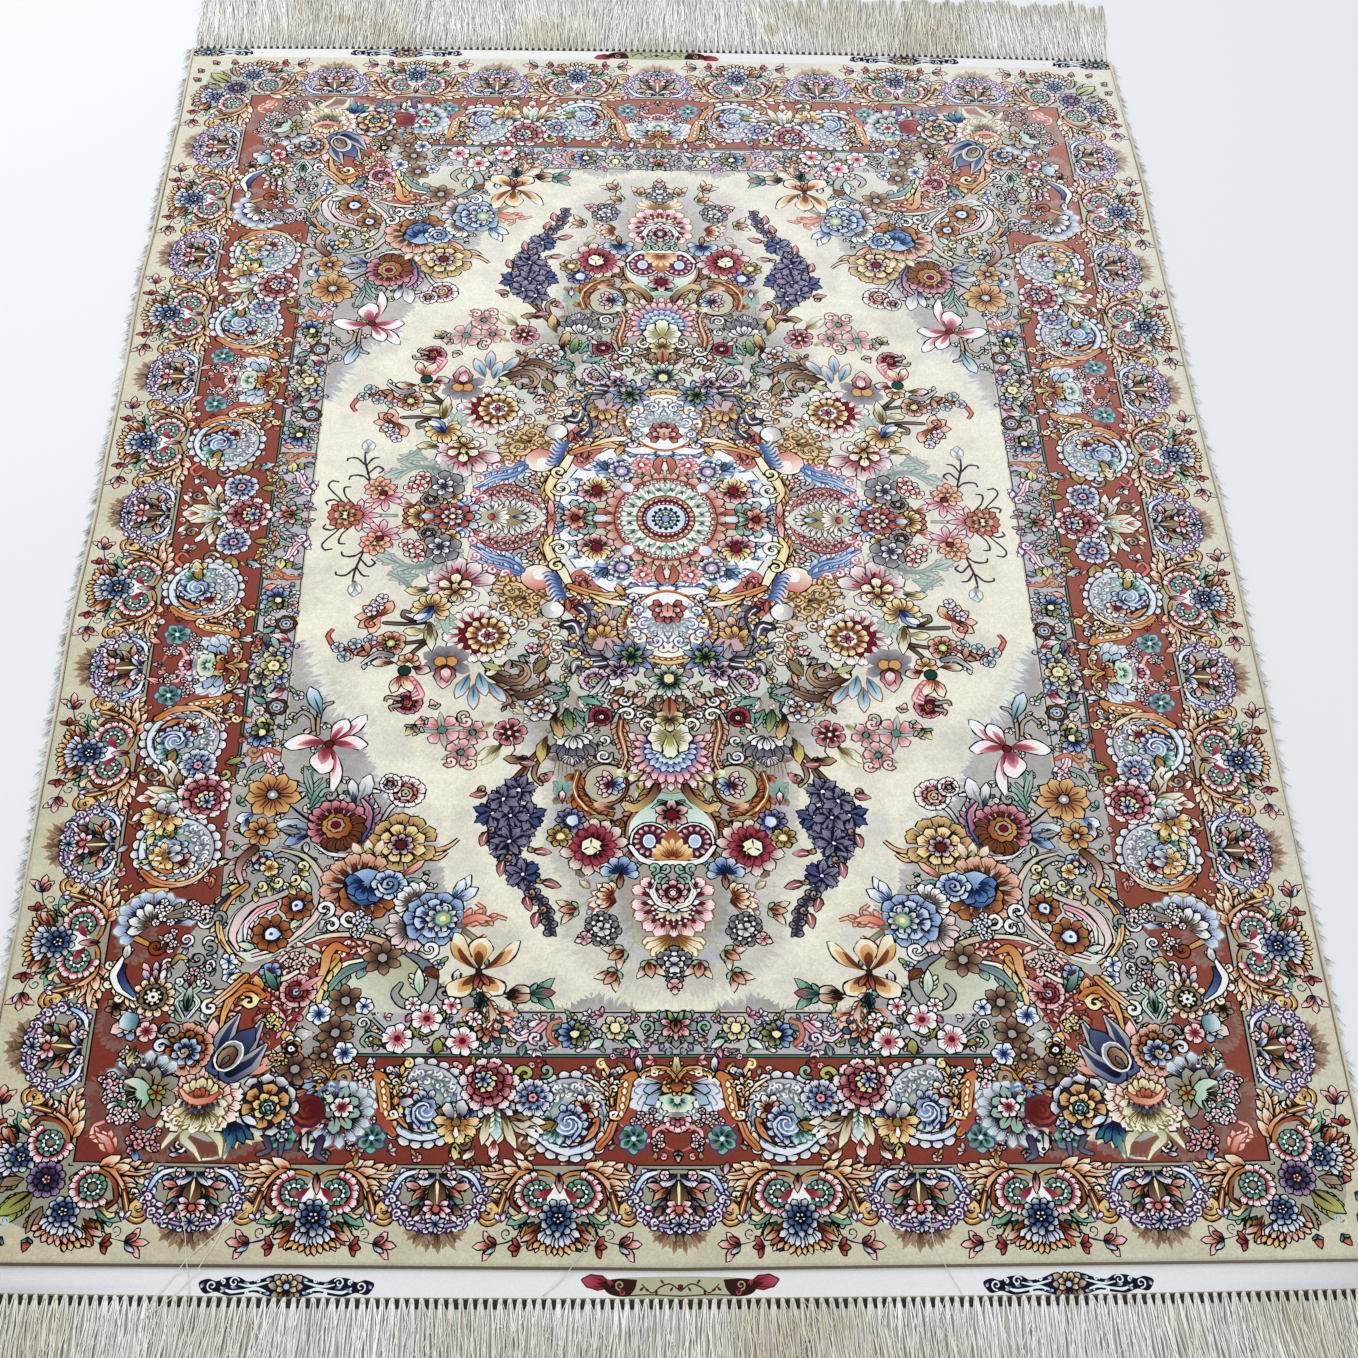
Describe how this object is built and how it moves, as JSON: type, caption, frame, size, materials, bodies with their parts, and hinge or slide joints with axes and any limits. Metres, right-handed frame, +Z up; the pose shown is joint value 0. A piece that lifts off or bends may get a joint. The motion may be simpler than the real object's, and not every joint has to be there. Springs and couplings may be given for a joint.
{
  "type": "persian rug",
  "caption": "Flat hand-knotted medallion rug with floral borders, thin woven end strips, overcast side cords and knotted fringes.",
  "frame": {"origin": "on the floor, under the middle of the box round the rug", "axes": "+X across the rug to the right, +Y along it to the far fringe, +Z up out of the pile"},
  "size_m": [1.0226, 1.6518, 0.007],
  "materials": {
    "pile": "cut wool and silk pile, many colours, soft sheen",
    "selvedge": "overcast cotton thread, matte",
    "fringe": "knotted cotton warp threads, matte"
  },
  "bodies": {
    "root": {"rug_cloth": "pile", "selvedge_left": "selvedge", "selvedge_right": "selvedge", "fringe_near": "fringe", "fringe_far": "fringe"}
  },
  "joints": []
}
